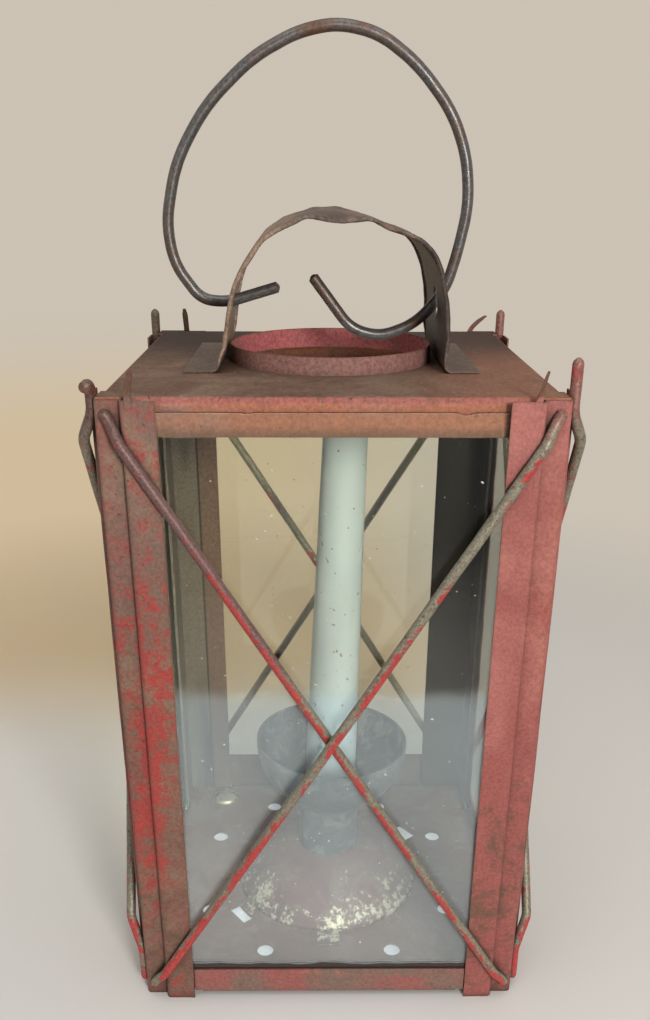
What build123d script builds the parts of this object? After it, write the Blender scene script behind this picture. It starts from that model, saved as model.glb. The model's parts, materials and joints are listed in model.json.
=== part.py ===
from build123d import *
from math import atan, cos, degrees, hypot, radians, sin, tan
import os

# Square tin candle lantern with four sliding glass panes.
# Millimetres, +Z up, front towards -Y, origin on the standing surface below the middle.

# Body
BODY_HALF = 70.0          # middle to the outer face of a corner strip
BODY_HEIGHT = 230.0       # standing surface to the top of the roof
SHEET = 0.6               # tin plate
BEND = 0.4                # inner radius of a fold
FIT = 0.2                 # gap between fixed neighbours

# Corner posts: a flat corner strip on each face, then a glass lip that stands proud
STRIP = 8.0               # width of the flat corner strip
LIP = 10.0                # width of the outer glass lip
LIP_PROUD = 2.7           # lip's outer face in front of the strip
TAB_WIDTH = 2.2           # standing tab on top of each post
TAB_RISE = 9.0

# Inner corner angles behind the glass
INNER_REACH = 3.0         # inner lip past the edge of the outer one
FRONT_REACH = -1.0        # the same on the front, where the inner lip stays behind the outer one
INNER_HEM = 9.5           # doubled edge of the inner lip
INNER_DROP = 3.4          # top of the angle below the top of the roof

# Roof
ROOF_FLANGE = 11.7        # top rail, turned down from the roof
ROOF_BEND = 2.5           # outer radius of the roof's edge
COLLAR_RADIUS = 35.4      # chimney collar, outside
COLLAR_RISE = 5.8
COLLAR_SEAT = 3.6         # collar's flange under the roof

# Hood: arched strap over the chimney
HOOD_CLEAR = 0.8          # leg's inner face to the chimney collar
HOOD_DEPTH = 62.0         # front edge to back edge
HOOD_SHEET = 0.8
HOOD_FOOT = 11.0          # foot outside the leg
HOOD_RIM = 1.5            # thickness of the folded edges
HOOD_RIM_WIDTH = 3.2
# Outer face of the strap as straight runs, before its bends are rounded. Points are sideways from where
# the left leg would stand upright, then the right one, and up from the roof.
HOOD_LEFT = [(-0.8, 0.3), (4.3, 29.5), (17.0, 45.2), (29.1, 49.4)]
HOOD_RIGHT = [(-27.8, 49.4), (-8.6, 41.7), (-2.7, 34.7), (0.7, 21.0), (0.7, 0.0)]

# Bail handle
BAIL_WIRE = 3.8           # diameter
BAIL_PIVOT_RISE = 19.7    # roof to the pivot line through both sides of the hood
BAIL_EYE_LEFT = 2.7       # radius of the hole in the hood's left side
BAIL_EYE_RIGHT = 5.0      # radius of the hole in its right side, where the wire slants more
# The bail's route, from its left tail over the top to its right tail. Points are sideways and up from
# where the pivot line crosses the left side of the hood, then from where it crosses the right side.
BAIL_LEFT = [(16.3, 4.6), (-1.7, -0.6), (-11.2, 0.2), (-19.9, 12.0), (-21.6, 25.0), (-17.7, 42.8),
             (-7.3, 59.6), (8.6, 73.6), (23.2, 80.7)]
BAIL_RIGHT = [(-35.8, 83.0), (-22.6, 80.5), (-9.7, 71.9), (1.8, 58.6), (7.5, 45.3), (9.0, 30.6),
              (6.2, 16.0), (2.6, 3.4), (-7.4, -7.8), (-19.8, -12.2), (-30.3, -9.4), (-43.9, 8.2)]

# Floor and bottom rails
FLOOR_CLEAR = 2.6         # standing surface to the underside of the floor
RAIL_TOP = 13.2           # top edge of the front and side rails
BACK_RAIL_TOP = 20.2      # top edge of the back rail
RAIL_WEB = 14.0           # rail's foot under the floor, from its outer face
VENT_RADIUS = 3.3
VENT_OUT = 50.4           # middle to the line of vents along a side
VENT_APART = 51.5         # between the two vents of a side

# Glass
GLASS = 1.7
GLASS_PLAY = 0.2          # pane to the lip and rail in front of it
GLASS_SIDE_PLAY = 0.4     # pane to the fold at each side
GLASS_SEAT = 0.3          # pane above the rail's web
GLASS_BELOW_ROOF = 4.0    # top edge of a pane below the top of the roof

# Guard wires
WIRE = 3.5                # diameter
WIRE_GAP = 0.1            # wire to what it lies on
WIRE_END_IN = 2.0         # wire's end inside the body's corner, along the face
WIRE_END_TOP = 3.5        # face wire's upper end below the top of the roof
WIRE_END_LOW = 5.0        # face wire's lower end above the standing surface
WIRE_JOG = 1.9            # start of the rise over the lip, along the face
WIRE_CLEAR = 1.0          # end of the rise before the lip, along the face
WIRE_PAD = 4.6            # width of a flattened end
WIRE_PAD_LENGTH = 5.5
WIRE_BOW_RADIUS = 60.0    # bend of the outer wire over the crossing
WIRE_BEND = 4.0           # other bends of the wires
PIN_IN = 3.6              # side wire's upright end inside the body's corner
PIN_RISE = 11.0           # upright end above the roof
PIN_FORWARD = 8.0         # stub of the upper end that is bent to the front
PIN_TURN = 5.0            # upright end stops this far below the top of the roof
SIDE_BULGE = 1.6          # side wire stands off the lip
SIDE_TOP = 14.0           # start of a side wire's slope below the top of the roof
SIDE_LOW = 31.0           # end of the slope above the standing surface
SIDE_FOOT = 3.0           # lower end above the standing surface
SIDE_FOOT_RUN = 15.0      # upright run at the lower end

# Candle holder, held in the floor by two lugs
HOLDER_GAP = 0.6          # base plate below the floor
BASE_RADIUS = 44.0
DOME_RADIUS = 39.2
DOME_SKIRT = 2.0          # upright foot of the dome
DOME_TOP = 22.0           # top of the dome above the standing surface
DOME_CROWN = 3.6          # how far the dome swells past a straight cone
DOME_PLAY = 0.6           # dome in the floor's hole
LUG_OUT = 9.3             # lug outside the dome
LUG_WIDTH = 9.0
LUG_LIFT = 0.3            # lug above the floor
NOTCH_PLAY = 0.6          # lug in its notch, each way
LOCK_TURN = 52.0          # turn from the notches to the locked place, degrees
HOLDER_LEAN = 1.8         # socket and candle lean to the right, degrees
SOCKET_RADIUS = 12.7
SOCKET_TOP = 52.0
SOCKET_DEPTH = 2.0        # socket's end below the top of the dome
CUP_RADIUS = 31.6
CUP_TOP = 73.3
CUP_LOW = 44.3
CUP_CROWN = 5.2           # how far the bowl swells past a straight cone
CANDLE_RADIUS = 11.3
CANDLE_TIP_RADIUS = 8.2
CANDLE_BELOW_ROOF = 18.0  # candle's shoulder end below the top of the roof
CANDLE_SHOULDER = 3.0
WICK_RADIUS = 0.8
WICK_RISE = 8.0
WICK_LEAN = 14.0          # degrees

# Planes and edges that several pieces share
LIP_FACE = BODY_HALF + LIP_PROUD
STEP_AT = BODY_HALF - STRIP
LIP_EDGE = STEP_AT - LIP
INNER_EDGE = LIP_EDGE - INNER_REACH
FRONT_EDGE = LIP_EDGE - FRONT_REACH
POST_TOP = BODY_HEIGHT - SHEET
INNER_FACE = BODY_HALF - SHEET
HEM_FACE = INNER_FACE - 2 * SHEET
FLOOR_TOP = FLOOR_CLEAR + SHEET
FLOOR_HALF = HEM_FACE - FIT
WEB_TOP = FLOOR_CLEAR
CANDLE_TOP = BODY_HEIGHT - CANDLE_BELOW_ROOF
HOOD_HALF = COLLAR_RADIUS + HOOD_CLEAR + HOOD_SHEET
PIVOT_Z = BODY_HEIGHT + BAIL_PIVOT_RISE
FOLD = BEND + SHEET

CORNERS = {"back_right": 0, "back_left": 90, "front_left": 180, "front_right": 270}
FACES = {"front": 0, "right": 90, "back": 180, "left": 270}


def save(shape, node):
    shape.label = node
    export_step(shape, f"parts/{node}.step")


def block(x, y, z):
    """Box between two limits along each axis."""
    size = [high - low for low, high in (x, y, z)]
    middle = [(low + high) / 2 for low, high in (x, y, z)]
    return Pos(*middle) * Box(*size)


def folded(points, radius, thickness):
    """Section of a folded sheet with one face along the points, its thickness to the right of them."""
    path = FilletPolyline(*points, radius=radius)
    return make_face(offset(path, amount=thickness, side=Side.RIGHT))


def wire(points, radii, diameter):
    """Round wire along straight runs joined by arcs."""
    path = FilletPolyline(*points, radius=radii)
    start = Plane(origin=path @ 0, z_dir=path % 0)
    return sweep(start * Circle(diameter / 2), path=path)


def corner_post(tab_on_side):
    outline = [
        (LIP_EDGE, LIP_FACE),
        (STEP_AT, LIP_FACE),
        (STEP_AT, BODY_HALF),
        (BODY_HALF, BODY_HALF),
        (BODY_HALF, STEP_AT),
        (LIP_FACE, STEP_AT),
        (LIP_FACE, LIP_EDGE),
    ]
    post = extrude(folded(outline, FOLD, SHEET), POST_TOP)
    along = (STEP_AT - FOLD - TAB_WIDTH, STEP_AT - FOLD)
    across = (LIP_FACE - SHEET, LIP_FACE)
    rise = (POST_TOP - TAB_WIDTH, POST_TOP + TAB_RISE)
    tab = block(across, along, rise) if tab_on_side else block(along, across, rise)
    return post + tab


def inner_angle(first_edge, last_edge):
    """Angle with a doubled edge on both legs, the first leg across the corner's own face."""
    top = BODY_HEIGHT - INNER_DROP
    legs = [(first_edge, INNER_FACE), (INNER_FACE, INNER_FACE), (INNER_FACE, last_edge)]
    angle = extrude(folded(legs, FOLD, SHEET), top)
    across = (HEM_FACE, HEM_FACE + SHEET)
    angle += block((first_edge, first_edge + INNER_HEM), across, (0, top))
    return angle + block(across, (last_edge, last_edge + INNER_HEM), (0, top))


def roof_panel():
    flange_half = STEP_AT - SHEET - FIT
    low = BODY_HEIGHT - ROOF_FLANGE
    hat = [(-BODY_HALF, low), (-BODY_HALF, BODY_HEIGHT), (BODY_HALF, BODY_HEIGHT), (BODY_HALF, low)]
    section = Plane.XZ * folded(hat, ROOF_BEND, SHEET)
    strip = extrude(section, flange_half, both=True)
    roof = strip + Rot(0, 0, 90) * strip
    corner = (flange_half - SHEET, BODY_HALF)
    for turn in CORNERS.values():
        roof += Rot(0, 0, turn) * block(corner, corner, (POST_TOP, BODY_HEIGHT))
    return roof - Pos(0, 0, BODY_HEIGHT) * Cylinder(COLLAR_RADIUS + FIT / 2, ROOF_FLANGE)


def chimney_collar():
    low = POST_TOP - SHEET
    top = BODY_HEIGHT + COLLAR_RISE
    middle = (low + top) / 2
    collar = Pos(0, 0, middle) * Cylinder(COLLAR_RADIUS, top - low)
    collar += Pos(0, 0, low + SHEET / 2) * Cylinder(COLLAR_RADIUS + COLLAR_SEAT, SHEET)
    collar -= Pos(0, 0, middle) * Cylinder(COLLAR_RADIUS - SHEET, 2 * (top - low))
    return collar


def hood_points():
    points = [(x - HOOD_HALF, BODY_HEIGHT + z) for x, z in HOOD_LEFT]
    return points + [(x + HOOD_HALF, BODY_HEIGHT + z) for x, z in HOOD_RIGHT]


def hood_arch(thickness, depth):
    """Arched strap of one thickness, centred front to back."""
    points = hood_points()
    section = Plane.XZ * folded(points, round_corners(points), thickness)
    return extrude(section, depth / 2, both=True)


def chimney_hood():
    hood = hood_arch(HOOD_SHEET, HOOD_DEPTH)
    rim = hood_arch(HOOD_RIM, HOOD_RIM_WIDTH)
    rim_at = (HOOD_DEPTH - HOOD_RIM_WIDTH) / 2
    hood += Pos(0, rim_at, 0) * rim + Pos(0, -rim_at, 0) * rim
    across = (-HOOD_DEPTH / 2, HOOD_DEPTH / 2)
    sole = (BODY_HEIGHT, BODY_HEIGHT + HOOD_SHEET)
    left, right = hood_points()[0][0], hood_points()[-1][0]
    hood += block((left - HOOD_FOOT, left + HOOD_SHEET), across, sole)
    hood += block((right - HOOD_SHEET, right + HOOD_FOOT), across, sole)
    for place, radius in zip(bail_eyes(), (BAIL_EYE_LEFT, BAIL_EYE_RIGHT)):
        hood -= Pos(place, 0, PIVOT_Z) * Rot(0, 90, 0) * Cylinder(radius, HOOD_HALF)
    return hood


def bail_eyes():
    """Where the pivot line meets the middle of the strap's sheet on the left and on the right."""
    def across(low, high):
        share = (PIVOT_Z - low[1]) / (high[1] - low[1])
        return low[0] + share * (high[0] - low[0])

    points = hood_points()
    return across(points[0], points[1]) + HOOD_SHEET / 2, across(points[-1], points[-2]) - HOOD_SHEET / 2


def bail_handle():
    left, right = bail_eyes()
    points = [(x + left, 0, PIVOT_Z + z) for x, z in BAIL_LEFT]
    points += [(x + right, 0, PIVOT_Z + z) for x, z in BAIL_RIGHT]
    return wire(points, round_corners(points), BAIL_WIRE)


def round_corners(points):
    """The largest radius at each corner that leaves its two runs a short straight piece."""
    share = 0.45
    radii = []
    for before, at, after in zip(points, points[1:], points[2:]):
        run_in = Vector(*at) - Vector(*before)
        run_out = Vector(*after) - Vector(*at)
        half_turn = radians(run_in.get_angle(run_out)) / 2
        radii.append(share * min(run_in.length, run_out.length) / tan(half_turn))
    return radii


def floor_plate():
    floor = block((-FLOOR_HALF, FLOOR_HALF), (-FLOOR_HALF, FLOOR_HALF), (FLOOR_CLEAR, FLOOR_TOP))
    middle = Pos(0, 0, (FLOOR_CLEAR + FLOOR_TOP) / 2)
    cut = 4 * SHEET
    hole = middle * Cylinder(DOME_RADIUS + DOME_PLAY, cut)
    notch_length = DOME_RADIUS + LUG_OUT + NOTCH_PLAY
    notch = Pos(0, -notch_length / 2, 0) * Box(LUG_WIDTH + 2 * NOTCH_PLAY, notch_length, cut)
    for turn in (0, 180):
        hole += middle * Rot(0, 0, turn - LOCK_TURN) * notch
    vent = Cylinder(VENT_RADIUS, cut)
    for turn in FACES.values():
        for side in (1, -1):
            hole += middle * Rot(0, 0, turn) * Pos(side * VENT_APART / 2, -VENT_OUT, 0) * vent
    return floor - hole


def bottom_rail(top):
    wall_half = LIP_EDGE - FIT
    web_half = INNER_EDGE - FIT
    low = FLOOR_CLEAR - SHEET
    outline = [(RAIL_WEB - LIP_FACE, low), (-LIP_FACE, low), (-LIP_FACE, top)]
    web = extrude(Plane.YZ * folded(outline, FOLD, SHEET), web_half, both=True)
    wall = block((-wall_half, wall_half), (-LIP_FACE, SHEET - LIP_FACE), (low + FOLD, top))
    return web + wall


def glass_pane():
    half = STEP_AT - SHEET - GLASS_SIDE_PLAY
    front = LIP_FACE - SHEET - GLASS_PLAY
    return block(
        (-half, half),
        (-front, GLASS - front),
        (WEB_TOP + GLASS_SEAT, BODY_HEIGHT - GLASS_BELOW_ROOF),
    )


def face_wire(side, outer):
    """Slanting wire on the front: its ends are flattened on the corner strips.

    The upper end is on the side given (1 right, -1 left); the outer wire bows over the other one.
    """
    end = BODY_HALF - WIRE_END_IN
    top = BODY_HEIGHT - WIRE_END_TOP
    middle = (top + WIRE_END_LOW) / 2
    slope = (top - WIRE_END_LOW) / (2 * end)
    on_strip = BODY_HALF + WIRE / 2 + WIRE_GAP
    on_lip = LIP_FACE + WIRE / 2 + WIRE_GAP
    jog = end - WIRE_JOG
    clear = STEP_AT + WIRE_CLEAR

    def at(x, depth):
        return (side * x, -depth, middle + slope * x)

    upper = [at(end, on_strip), at(jog, on_strip), at(clear, on_lip)]
    lower = [at(-clear, on_lip), at(-jog, on_strip), at(-end, on_strip)]
    radii = [WIRE_BEND] * 4
    crossing = []
    if outer:
        crossing = [at(0, on_lip + WIRE + 2 * WIRE_GAP)]
        radii.insert(2, WIRE_BOW_RADIUS)
    shape = wire(upper + crossing + lower, radii, WIRE)
    run = hypot(1, slope)
    lean = Rot(0, side * (90 - degrees(atan(slope))), 0)
    pad_depth = WIRE / 2 + WIRE_GAP
    for place in (1, -1):
        x = place * (end - WIRE_PAD_LENGTH / 2 / run)
        pad = Box(WIRE_PAD, pad_depth, WIRE_PAD_LENGTH)
        shape += Pos(side * x, -BODY_HALF - pad_depth / 2, middle + slope * x) * lean * pad
    return shape


def side_wire(side, outer, bent):
    """Slanting wire with upright ends in the corners, set out on the front and turned to a side.

    The upper end stands above the roof as a pin, or is bent over, away from the middle of the face.
    """
    pin = BODY_HALF - PIN_IN
    on_strip = BODY_HALF + WIRE / 2 + WIRE_GAP
    on_lip = LIP_FACE + WIRE / 2 + SIDE_BULGE
    clear = STEP_AT + WIRE_CLEAR
    top = BODY_HEIGHT - SIDE_TOP
    middle = (top + SIDE_LOW) / 2

    def at(x, depth, z):
        return (side * x, -depth, z)

    stub = [at(pin, on_strip, BODY_HEIGHT + PIN_RISE)]
    if bent:
        stub_z = BODY_HEIGHT + WIRE
        stub = [at(pin + PIN_FORWARD, on_strip, stub_z), at(pin, on_strip, stub_z)]
    upper = stub + [at(pin, on_strip, BODY_HEIGHT - PIN_TURN), at(clear, on_lip, top)]
    crossing = [at(0, on_lip + WIRE + 2 * WIRE_GAP, middle)] if outer else []
    lower = [
        at(-clear, on_lip, SIDE_LOW),
        at(-pin, on_strip, SIDE_FOOT + SIDE_FOOT_RUN),
        at(-pin, on_strip, SIDE_FOOT),
    ]
    radii = [WIRE_BEND] * (len(stub) + 1) + [WIRE_BOW_RADIUS] * len(crossing) + [WIRE_BEND] * 2
    return wire(upper + crossing + lower, radii, WIRE)


def shell_of_turn(foot, crest, crown, skirt):
    """Turned sheet from its foot to its crest, swollen outwards by the crown, on an upright skirt."""
    (r0, z0), (r1, z1) = foot, crest
    length = hypot(r1 - r0, z1 - z0)
    outward = ((z1 - z0) / length, (r0 - r1) / length)
    middle = ((r0 + r1) / 2 + crown * outward[0], (z0 + z1) / 2 + crown * outward[1])
    path = ThreePointArc(foot, middle, crest)
    if skirt:
        path = Wire([Edge.make_line((r0, z0 - skirt), foot), path.edge()])
    section = make_face(offset(path, amount=SHEET, side=Side.LEFT))
    return revolve(Plane.XZ * section, Axis.Z)


def candle_dome():
    base_top = FLOOR_CLEAR - HOLDER_GAP
    foot = (DOME_RADIUS, base_top + DOME_SKIRT)
    dome = shell_of_turn(foot, (SOCKET_RADIUS + FIT, DOME_TOP), DOME_CROWN, DOME_SKIRT)
    lug_low = FLOOR_TOP + LUG_LIFT
    for turn in (0, 180):
        lug = block(
            (-LUG_WIDTH / 2, LUG_WIDTH / 2),
            (-DOME_RADIUS - LUG_OUT, -DOME_RADIUS + SHEET),
            (lug_low, lug_low + SHEET),
        )
        dome += Rot(0, 0, turn) * lug
    return dome


def holder_base():
    top = FLOOR_CLEAR - HOLDER_GAP
    return Pos(0, 0, top - SHEET / 2) * Cylinder(BASE_RADIUS, SHEET)


def leaned(shape):
    """Lean a piece of the candle holder to the right about the top of the dome."""
    pivot = Pos(0, 0, DOME_TOP)
    return pivot * Rot(0, HOLDER_LEAN, 0) * pivot.inverse() * shape


def candle_socket():
    low = DOME_TOP - SOCKET_DEPTH
    section = Polyline((0, low), (SOCKET_RADIUS, low), (SOCKET_RADIUS, SOCKET_TOP),
                       (SOCKET_RADIUS - SHEET, SOCKET_TOP), (SOCKET_RADIUS - SHEET, low + SHEET),
                       (0, low + SHEET), close=True)
    return revolve(Plane.XZ * make_face(section), Axis.Z)


def drip_cup():
    neck = (SOCKET_RADIUS + SHEET + FIT, CUP_LOW)
    return shell_of_turn(neck, (CUP_RADIUS, CUP_TOP), CUP_CROWN, 0)


def candle():
    low = DOME_TOP - SOCKET_DEPTH + SHEET + FIT
    flat = 2 * WICK_RADIUS
    side = [
        Edge.make_line((0, low), (CANDLE_RADIUS, low)),
        Edge.make_line((CANDLE_RADIUS, low), (CANDLE_TIP_RADIUS, CANDLE_TOP - CANDLE_SHOULDER)),
        Edge.make_line((CANDLE_TIP_RADIUS, CANDLE_TOP - CANDLE_SHOULDER), (flat, CANDLE_TOP)),
        Edge.make_line((flat, CANDLE_TOP), (0, CANDLE_TOP)),
        Edge.make_line((0, CANDLE_TOP), (0, low)),
    ]
    return revolve(Plane.XZ * make_face(side), Axis.Z)


def candle_wick():
    half = WICK_RISE / 2
    lean = radians(WICK_LEAN)
    points = [
        (0, 0, CANDLE_TOP),
        (0, 0, CANDLE_TOP + half),
        (half * sin(lean), 0, CANDLE_TOP + half + half * cos(lean)),
    ]
    return wire(points, WICK_RISE / 4, 2 * WICK_RADIUS)


os.makedirs("parts", exist_ok=True)

save(roof_panel(), "roof_panel")
save(chimney_collar(), "chimney_collar")
save(chimney_hood(), "chimney_hood")
save(bail_handle(), "bail_handle")
save(floor_plate(), "floor_plate")

for name, turn in CORNERS.items():
    save(Rot(0, 0, turn) * corner_post(tab_on_side=turn in (90, 270)), f"corner_post_{name}")
    first_edge = FRONT_EDGE if name == "front_left" else INNER_EDGE
    last_edge = FRONT_EDGE if name == "front_right" else INNER_EDGE
    save(Rot(0, 0, turn) * inner_angle(first_edge, last_edge), f"inner_angle_{name}")

for name, turn in FACES.items():
    rail_top = BACK_RAIL_TOP if name == "back" else RAIL_TOP
    save(Rot(0, 0, turn) * bottom_rail(rail_top), f"bottom_rail_{name}")
    save(Rot(0, 0, turn) * glass_pane(), f"glass_pane_{name}")

for name in ("front", "back"):
    save(Rot(0, 0, FACES[name]) * face_wire(-1, outer=False), f"guard_wire_{name}_inner")
    save(Rot(0, 0, FACES[name]) * face_wire(1, outer=True), f"guard_wire_{name}_outer")

for name in ("right", "left"):
    bent = name == "left"
    save(Rot(0, 0, FACES[name]) * side_wire(1, outer=False, bent=bent), f"guard_wire_{name}_inner")
    save(Rot(0, 0, FACES[name]) * side_wire(-1, outer=True, bent=False), f"guard_wire_{name}_outer")

save(candle_dome(), "candle_dome")
save(holder_base(), "holder_base")
save(leaned(candle_socket()), "candle_socket")
save(leaned(drip_cup()), "drip_cup")
save(leaned(candle()), "candle")
save(leaned(candle_wick()), "candle_wick")
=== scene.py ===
"""Looks of a square tin candle lantern: worn paint, bare wire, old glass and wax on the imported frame."""
import json
from math import cos, exp, pi, radians, sin, tan

import bpy
from mathutils import Matrix, Vector, noise


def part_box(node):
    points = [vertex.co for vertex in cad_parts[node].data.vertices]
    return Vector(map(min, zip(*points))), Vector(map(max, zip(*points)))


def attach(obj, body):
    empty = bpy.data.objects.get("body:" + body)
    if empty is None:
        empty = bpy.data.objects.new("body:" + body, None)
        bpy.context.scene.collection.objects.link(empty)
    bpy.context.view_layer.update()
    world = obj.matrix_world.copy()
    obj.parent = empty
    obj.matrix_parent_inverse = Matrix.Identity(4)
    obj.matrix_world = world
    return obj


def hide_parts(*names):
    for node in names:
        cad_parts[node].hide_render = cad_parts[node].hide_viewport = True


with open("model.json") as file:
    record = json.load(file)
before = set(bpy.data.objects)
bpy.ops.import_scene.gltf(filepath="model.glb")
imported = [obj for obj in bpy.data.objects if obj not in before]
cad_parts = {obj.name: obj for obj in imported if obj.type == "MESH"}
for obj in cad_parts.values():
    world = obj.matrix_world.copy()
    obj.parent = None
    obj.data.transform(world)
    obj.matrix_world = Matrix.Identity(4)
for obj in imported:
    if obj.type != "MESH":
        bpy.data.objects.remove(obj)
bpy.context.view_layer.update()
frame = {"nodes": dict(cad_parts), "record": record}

bl_info = {
    "name": "Tin Candle Lantern",
    "version": (1, 0, 0),
    "blender": (4, 5, 0),
    "location": "3D View > Sidebar > Lantern",
    "description": "Finishes and small details of a square tin candle lantern",
    "category": "Object",
}

MM = 0.001
NODES = frame["nodes"]
BODIES = {node: body for body, nodes in frame["record"]["behaviour"]["bodies"].items() for node in nodes}

# Sizes that the frame holds
POST_LOW, POST_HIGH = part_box("corner_post_front_left")
ROOF_LOW, ROOF_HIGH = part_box("roof_panel")
HOOD_LOW, HOOD_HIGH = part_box("chimney_hood")
FLOOR_LOW, FLOOR_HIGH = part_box("floor_plate")
PANE_LOW, PANE_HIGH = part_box("glass_pane_front")
CANDLE_LOW, CANDLE_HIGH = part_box("candle")
LIP_FACE = -POST_LOW.x
LIP_EDGE = -POST_HIGH.x
BODY = ROOF_HIGH.x
ROOF_TOP = ROOF_HIGH.z
SHEET = FLOOR_HIGH.z - FLOOR_LOW.z

# Sizes of the pieces that are shaped here
STRIP = 8 * MM              # flat corner strip of a post
FOLD = 1 * MM               # outer radius of a fold
STEP_AT = BODY - STRIP
TAB_WIDTH = 2.2 * MM
TAB_RISE = 9 * MM
HOOD_SHEET = 0.8 * MM
HOOD_RIM = 1.5 * MM         # thickness of the folded edges
HOOD_RIM_WIDTH = 3.2 * MM
HOOD_FOOT_FOLD = 1.2 * MM
PINCH_AT = 1.7 * MM         # dent in the hood's crown
PINCH_WIDTH = 8 * MM
BEND_SHARE = 0.45           # share of the shorter run that a rounded bend takes
WIRE = 3.5 * MM
WIRE_GAP = 0.1 * MM
WIRE_BEND = 4 * MM
SIDE_BEND = 9 * MM
CROSSING_BEND = 60 * MM
BAIL_WIRE = 3.8 * MM
PANE_EASE = 0.15 * MM       # ground edges of a pane
FLECKS_IN = 4 * MM          # flecks keep this far from the tin
PIVOT_Z = ROOF_TOP + 19.7 * MM
LEAN = radians(1.8)         # candle, about the top of the dome
LEAN_FROM = 22 * MM

# How finely the pieces are meshed
SHEET_STEP = 1.2 * MM
WIRE_STEP = 0.9 * MM
WIRE_SIDES = 18
BEND_POINTS = 12
POST_ROWS = 80
TAB_ROWS = 16
EYE_SIDES = 32
PANE_STEPS = 120
CANDLE_ROWS = 60
CANDLE_SIDES = 48
SHOULDER_ROWS = 8
DROP_ROWS = 12
DROP_SIDES = 40

# Cosine between the surface and its rounded form where an edge begins to wear and is worn
EDGE_TURN = (0.98, 0.88)

# Turns of the corners and faces in degrees, each set out as the first of them
CORNERS = {"back_right": 0, "back_left": 90, "front_left": 180, "front_right": 270}
FACES = {"front": 0, "right": 90, "back": 180, "left": 270}

# Each corner's tab: lean along the lip and twist in degrees
TABS = {"front_left": (-0.18, 25), "front_right": (0.20, 62),
        "back_left": (0.06, 20), "back_right": (0.75, 30)}

# Outer face of the hood's strap in millimetres, from its left foot over the crown to its right foot
HOOD_FACE = [(-37.8, 0.3), (-32.7, 29.5), (-20.0, 45.2), (-7.9, 49.4), (9.2, 49.4), (28.4, 41.7),
             (34.3, 34.7), (37.7, 21.0), (37.7, 0.0)]

# Where the bail crosses the hood's left and right side, and the radius of the hole there
EYES = {-34.01 * MM: 2.7 * MM, 37.3 * MM: 5.0 * MM}

# The bail's route in millimetres, sideways and up from where it crosses each side of the hood
BAIL_LEFT = [(16.3, 4.6), (-1.7, -0.6), (-11.2, 0.2), (-19.9, 12.0), (-21.6, 25.0), (-17.7, 42.8),
             (-7.3, 59.6), (8.6, 73.6), (23.2, 80.7)]
BAIL_RIGHT = [(-35.8, 83.0), (-22.6, 80.5), (-9.7, 71.9), (1.8, 58.6), (7.5, 45.3), (9.0, 30.6),
              (6.2, 16.0), (2.6, 3.4), (-7.4, -7.8), (-19.8, -12.2), (-30.3, -9.4), (-43.9, 8.2)]


def turned(points, degrees):
    turn = Matrix.Rotation(radians(degrees), 3, "Z")
    return [turn @ Vector(point) for point in points]


def rough(place, scale, seed=0.0):
    """Smooth noise from -1 to 1 at a place, for bumps of about 1 / scale."""
    return noise.noise(Vector(place) * scale + Vector((seed, 2 * seed, -seed)))


def ramp(value, low, high):
    """0 at low, 1 at high, and held there."""
    return max(0.0, min(1.0, (value - low) / (high - low)))


def soft(mesh, sharp=40):
    mesh.shade_smooth()
    mesh.set_sharp_from_angle(angle=radians(sharp))


def finished(name, mesh, material, node):
    """Link a mesh as the piece that stands for a CAD node."""
    piece = place_piece(name, mesh, material, BODIES[node])
    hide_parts(node)
    return piece


def place_piece(name, mesh, material, body):
    """Link a mesh as a piece that moves with a body."""
    if not mesh.polygons:
        raise RuntimeError(f"{name} has no faces")
    mesh.name = name
    piece = linked(name, mesh)
    dress(mesh, material)
    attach(piece, body)
    return piece


def wear(material, *starts):
    """Give a material to the CAD nodes whose names begin with these words."""
    for name, node in NODES.items():
        if name.startswith(starts):
            dress(node.data, material)


def dress(mesh, material):
    mesh.materials.clear()
    mesh.materials.append(material)


def linked(name, data):
    """A new object in the scene."""
    thing = bpy.data.objects.new(name, data)
    bpy.context.scene.collection.objects.link(thing)
    return thing


def baked(mesh, *modifiers):
    """The mesh with these modifiers applied, each a type and its settings."""
    holder = linked("holder", mesh)
    for kind, settings in modifiers:
        modifier = holder.modifiers.new(kind, kind)
        for name, value in settings.items():
            setattr(modifier, name, value)
    result = evaluated(holder)
    bpy.data.objects.remove(holder)
    return result


def evaluated(holder):
    graph = bpy.context.evaluated_depsgraph_get()
    return bpy.data.meshes.new_from_object(holder.evaluated_get(graph))


def bend_radius(before, at, after, most):
    """Radius that rounds a corner within its share of the shorter run."""
    come, go = at - before, after - at
    turn = max(come.angle(go), 0.001)
    return min(most, BEND_SHARE * min(come.length, go.length) / tan(turn / 2))


def polyline(points, bends):
    """Route of straight runs; each corner holds the radius it is to be bent to."""
    points = [Vector(point) for point in points]
    mesh = bpy.data.meshes.new("polyline")
    mesh.from_pydata(points, [(i, i + 1) for i in range(len(points) - 1)], [])
    radii = [bend_radius(*three, most) for *three, most in zip(points, points[1:], points[2:], bends[1:])]
    held = mesh.attributes.new("bend", "FLOAT", "POINT")
    held.data.foreach_set("value", [0.0, *radii, 0.0])
    return mesh


def faced(name, points, faces):
    mesh = bpy.data.meshes.new(name)
    mesh.from_pydata(points, [], faces)
    mesh.update()
    return mesh


def lattice(rows, closed=False, caps=False):
    """Mesh of quads over rows of points; closed joins each row's ends and caps close first and last row."""
    width = len(rows[0])
    points = [point for row in rows for point in row]
    faces = []
    for low in range(0, len(points) - width, width):
        high = low + width
        for at in range(width if closed else width - 1):
            after = (at + 1) % width
            faces.append((low + at, low + after, high + after, high + at))
    if caps:
        faces.append(tuple(reversed(range(width))))
        faces.append(tuple(range(len(points) - width, len(points))))
    return faced("lattice", points, faces)


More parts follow.
